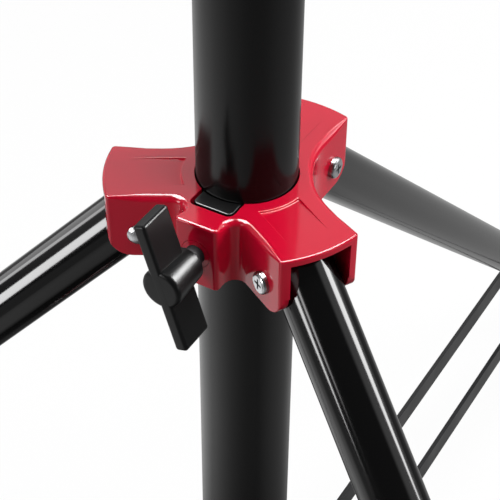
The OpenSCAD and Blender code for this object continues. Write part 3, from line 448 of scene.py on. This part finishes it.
# %% The world: plain white for the camera, the studio for everything else
pale_side = (-0.1, 0.8, 0.59)
darkest, palest = 0.04, 0.15
world = bpy.data.worlds.new("studio")
bpy.context.scene.world = world
world.use_nodes = True
tree = world.node_tree
rays = tree.nodes.new("ShaderNodeLightPath").outputs
way = tree.nodes.new("ShaderNodeTexCoord").outputs["Generated"]
to_right, to_front, to_top = (along(tree, way, axis)
                              for axis in ((1, 0, 0), (0, -1, 0), (0, 0, 1)))
heading = value(tree, "DEGREES", value(tree, "ARCTAN2", to_right, to_front))
height = value(tree, "DEGREES", value(tree, "ARCSINE", to_top))
light = remap(tree, along(tree, way, pale_side), 0.05, 0.95, darkest, palest)
for box in softboxes.values():
    light = value(tree, "ADD", light, softbox_seen(tree, heading, height, box))
patch = value(tree, "MULTIPLY", softbox_seen(tree, heading, height, above),
              rays["Is Glossy Ray"])
light = value(tree, "ADD", light, patch)
hidden = value(tree, "SUBTRACT", 1.0, rays["Is Camera Ray"])
level = value(tree, "MULTIPLY_ADD", light, hidden, rays["Is Camera Ray"])
room = tree.nodes["Background"]
room.inputs["Color"].default_value = (1, 1, 1, 1)
tree.links.new(level, room.inputs["Strength"])
print("world with", len(softboxes), "softboxes")

# %% [markdown]
# ## Floor
#
# The floor is white paper. The camera sees it glow, with a little of its own shading left
# in, so that the stand keeps its soft shadow. Further out the glow takes over, and the edge
# of the paper can't be told from the white behind it. In gloss the floor glows with painted
# light: a painted shade right under the stand, brightest to the left of it, and fading with
# distance, because that painted reflection gives the round tubes their long bright sides.
# The paper is painted darker for the light it throws back at the stand, so that the
# undersides stay dark.

# %% Lay the floor
bm = bmesh.new()
bmesh.ops.create_grid(bm, x_segments=1, y_segments=1, size=12)
floor_mesh = bpy.data.meshes.new("floor")
bm.to_mesh(floor_mesh)
bm.free()
floor = bpy.data.objects.new("floor", floor_mesh)
bpy.context.scene.collection.objects.link(floor)

paper = bpy.data.materials.new("studio floor")
paper.use_nodes = True
floor_mesh.materials.append(paper)
print("floor laid,", round(floor.dimensions.x), "m wide")

# %% Where a spot on the floor is: its bearing from the mast, and how far off
def vector(tree, operation, term, output="Vector"):
    node = tree.nodes.new("ShaderNodeVectorMath")
    node.operation = operation
    tree.links.new(term, node.inputs[0])
    return node.outputs[output]

tree = paper.node_tree
rays = tree.nodes.new("ShaderNodeLightPath").outputs
spot = tree.nodes.new("ShaderNodeTexCoord").outputs["Object"]
bearing = vector(tree, "NORMALIZE", spot)
far = vector(tree, "LENGTH", spot, "Value")

# %% How brightly the floor glows in a mirror, a painted reflection
# painted reflection: weak under the stand (painted shade), brightest to its left, fading far off
pale_left, pale_right, pale_around, pale_far_off = 0.75, 0.12, 0.1, 0.08
dark_within, pale_beyond, under_stand = 0.25, 0.55, 0.1
fades_from, fades_until, faded = 0.9, 2.6, 0.15

to_left = along(tree, bearing, (-0.86, 0.5, 0))
leftness = value(tree, "POWER", value(tree, "MULTIPLY_ADD", to_left, 0.59, 0.41, clamp=True), 1.6)
right_side = remap(tree, along(tree, bearing, (1, 0.2, 0)), 0.3, 1.0, 0.0, pale_right)
left_side = value(tree, "MULTIPLY_ADD", leftness, pale_left, pale_around)
all_round = value(tree, "ADD", left_side, right_side)
fade = remap(tree, far, fades_from, fades_until, 1.0, faded)
away = remap(tree, far, dark_within, pale_beyond, under_stand, 1.0)
pale = value(tree, "MULTIPLY", value(tree, "MULTIPLY_ADD", all_round, fade, pale_far_off), away)
mirrored = value(tree, "MAXIMUM", rays["Is Glossy Ray"], rays["Is Transmission Ray"])

# %% Glow for the camera, painted glow for mirrors, and paper painted darker for bounced light
paper_white, held_down = 0.86, 0.56
shadow_kept_within, all_glow_beyond, glow_near = 1.2, 3.5, 0.88

sheet = tree.nodes["Principled BSDF"]
sheet.inputs["Roughness"].default_value = 0.9
# the paper is darker to diffuse rays: painted shade on the stand's undersides
white = value(tree, "MULTIPLY_ADD", rays["Is Diffuse Ray"], -held_down, paper_white)
tree.links.new(white, sheet.inputs["Base Color"])
glow = tree.nodes.new("ShaderNodeEmission")
glow_level = value(tree, "MAXIMUM", rays["Is Camera Ray"],
                   value(tree, "MULTIPLY", mirrored, pale))
tree.links.new(glow_level, glow.inputs["Strength"])
for_camera = remap(tree, far, shadow_kept_within, all_glow_beyond, glow_near, 1.0)
share = value(tree, "MAXIMUM", value(tree, "MULTIPLY", rays["Is Camera Ray"], for_camera),
              mirrored)
mix = tree.nodes.new("ShaderNodeMixShader")
for socket, output in (("Fac", share), (1, sheet.outputs[0]), (2, glow.outputs[0])):
    tree.links.new(output, mix.inputs[socket])
tree.links.new(mix.outputs[0], tree.nodes["Material Output"].inputs["Surface"])
print("floor painted with", len(tree.nodes), "nodes")

# %% [markdown]
# ## Lamps
#
# Three large lamps give the soft light and the shadow. They hang metres away from the
# collar, because a near lamp would light the top of the stand far more strongly than its
# middle. Gloss doesn't see them, because it has the softboxes.

# %% A soft lamp
def lamp(name, at, toward, width, height, power):
    data = bpy.data.lights.new(name, "AREA")
    data.shape = "RECTANGLE"
    data.size, data.size_y = width, height
    data.energy = power
    holder = bpy.data.objects.new(name, data)
    bpy.context.scene.collection.objects.link(holder)
    away = Vector(at) - Vector(toward)
    facing = away.to_track_quat("Z", "Y").to_matrix().to_4x4()
    holder.matrix_world = Matrix.Translation(at) @ facing
    holder.visible_glossy = False
    return holder

# %% Soft light round the collar
collar_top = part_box("collar")[1][2]
centre = Vector((0, 0, collar_top))
lamp("overhead", centre + Vector((1.3, -0.28, 4.4)), centre, 1.9, 1.9, 130)
lamp("from the front left", centre + Vector((-0.9, -1.0, 4.3)), centre, 1.9, 1.9, 45)
lamp("from the right", centre + Vector((3.2, 0.2, 1.2)), centre, 1.6, 1.6, 48)
print("three soft lamps round the collar's top, at", round(collar_top, 4), "m")

# %% [markdown]
# Two high lamps draw the glints on the rounded edges of the castings, and only gloss sees
# them. The tubes would mirror them as wide white bands, so light linking keeps them to the
# pieces that want them. A small lamp of its own draws the pale streak along the collar
# knob's hub.

# %% Pieces that take the glints
glinting = bpy.data.collections.new("high lamps light")
without_glints = (leg_paint, mast_paint, strip_paint, black_plastic, zinc, paper)
for piece in bpy.context.scene.objects:
    if piece.type == "MESH" and piece.data.materials:
        if piece.data.materials[0] not in without_glints:
            glinting.objects.link(piece)

# %% Lamps for the glints
# name, heading, height in degrees, power
high_lamps = (("high left", -111, 66.5, 390), ("high right", 108, 66, 360))
reach, long_side, short_side = 3, 2.67, 1.95
for name, side, rise, power in high_lamps:
    turned, tilt = math.radians(side), math.radians(rise)
    aim = Vector((math.sin(turned) * math.cos(tilt), -math.cos(turned) * math.cos(tilt),
                  math.sin(tilt)))
    high = lamp(name, centre + reach * aim, centre, long_side, short_side, power)
    high.visible_glossy, high.visible_diffuse = True, False
    high.light_linking.receiver_collection = glinting

# %% The lamp for the collar's knob
at_knob = sum((Vector(corner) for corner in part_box("collar_knob")), Vector()) / 2
knob_light = lamp("knob", at_knob + Vector((0.95, 0.47, 0.62)), at_knob, 0.4, 0.4, 20)
knob_light.visible_glossy = True
only_knob = bpy.data.collections.new("knob lamp lights")
only_knob.objects.link(collar_knob)
knob_light.light_linking.receiver_collection = only_knob
print("knob lamp", round((knob_light.location - at_knob).length, 2), "m from the knob")

# %% [markdown]
# ## Camera
#
# The camera looks down on the collar from the front with a long lens, which keeps the
# tubes' sides nearly parallel. It aims a little below the collar's top, which then sits
# above the middle of the picture. Lengths in the picture are given in picture widths.

# %% Which way the camera looks
elevation, roll = math.radians(36.647), math.radians(0.518)
distance = 0.6876
focal, aim_right, aim_up = 2.836, 0.006864, -0.15709

back = Vector((0, -math.cos(elevation), math.sin(elevation)))
right = Vector((1, 0, 0))
up = right.cross(-back)
forward = (-back + right * (aim_right / focal) + up * (aim_up / focal)).normalized()
right = forward.cross(Vector((0, 0, 1))).normalized()
up = right.cross(forward)
across = right * math.cos(roll) + up * math.sin(roll)
upward = up * math.cos(roll) - right * math.sin(roll)

# %% Camera
sensor = 36
camera_data = bpy.data.cameras.new("camera")
camera_data.sensor_width = sensor
camera_data.lens = focal * sensor
camera = bpy.data.objects.new("camera", camera_data)
bpy.context.scene.collection.objects.link(camera)
place = Matrix((across, upward, -forward)).transposed().to_4x4()
place.translation = centre + back * distance
camera.matrix_world = place
bpy.context.scene.camera = camera
print("camera at", [round(c, 3) for c in place.translation])

# %% [markdown]
# ## Colours
#
# The Standard view shows a colour as bright as it is lit, where a film-like view would turn
# the white paper grey.

# %% Plain colours on screen
bpy.context.scene.view_settings.view_transform = "Standard"
print("view:", bpy.context.scene.view_settings.view_transform)
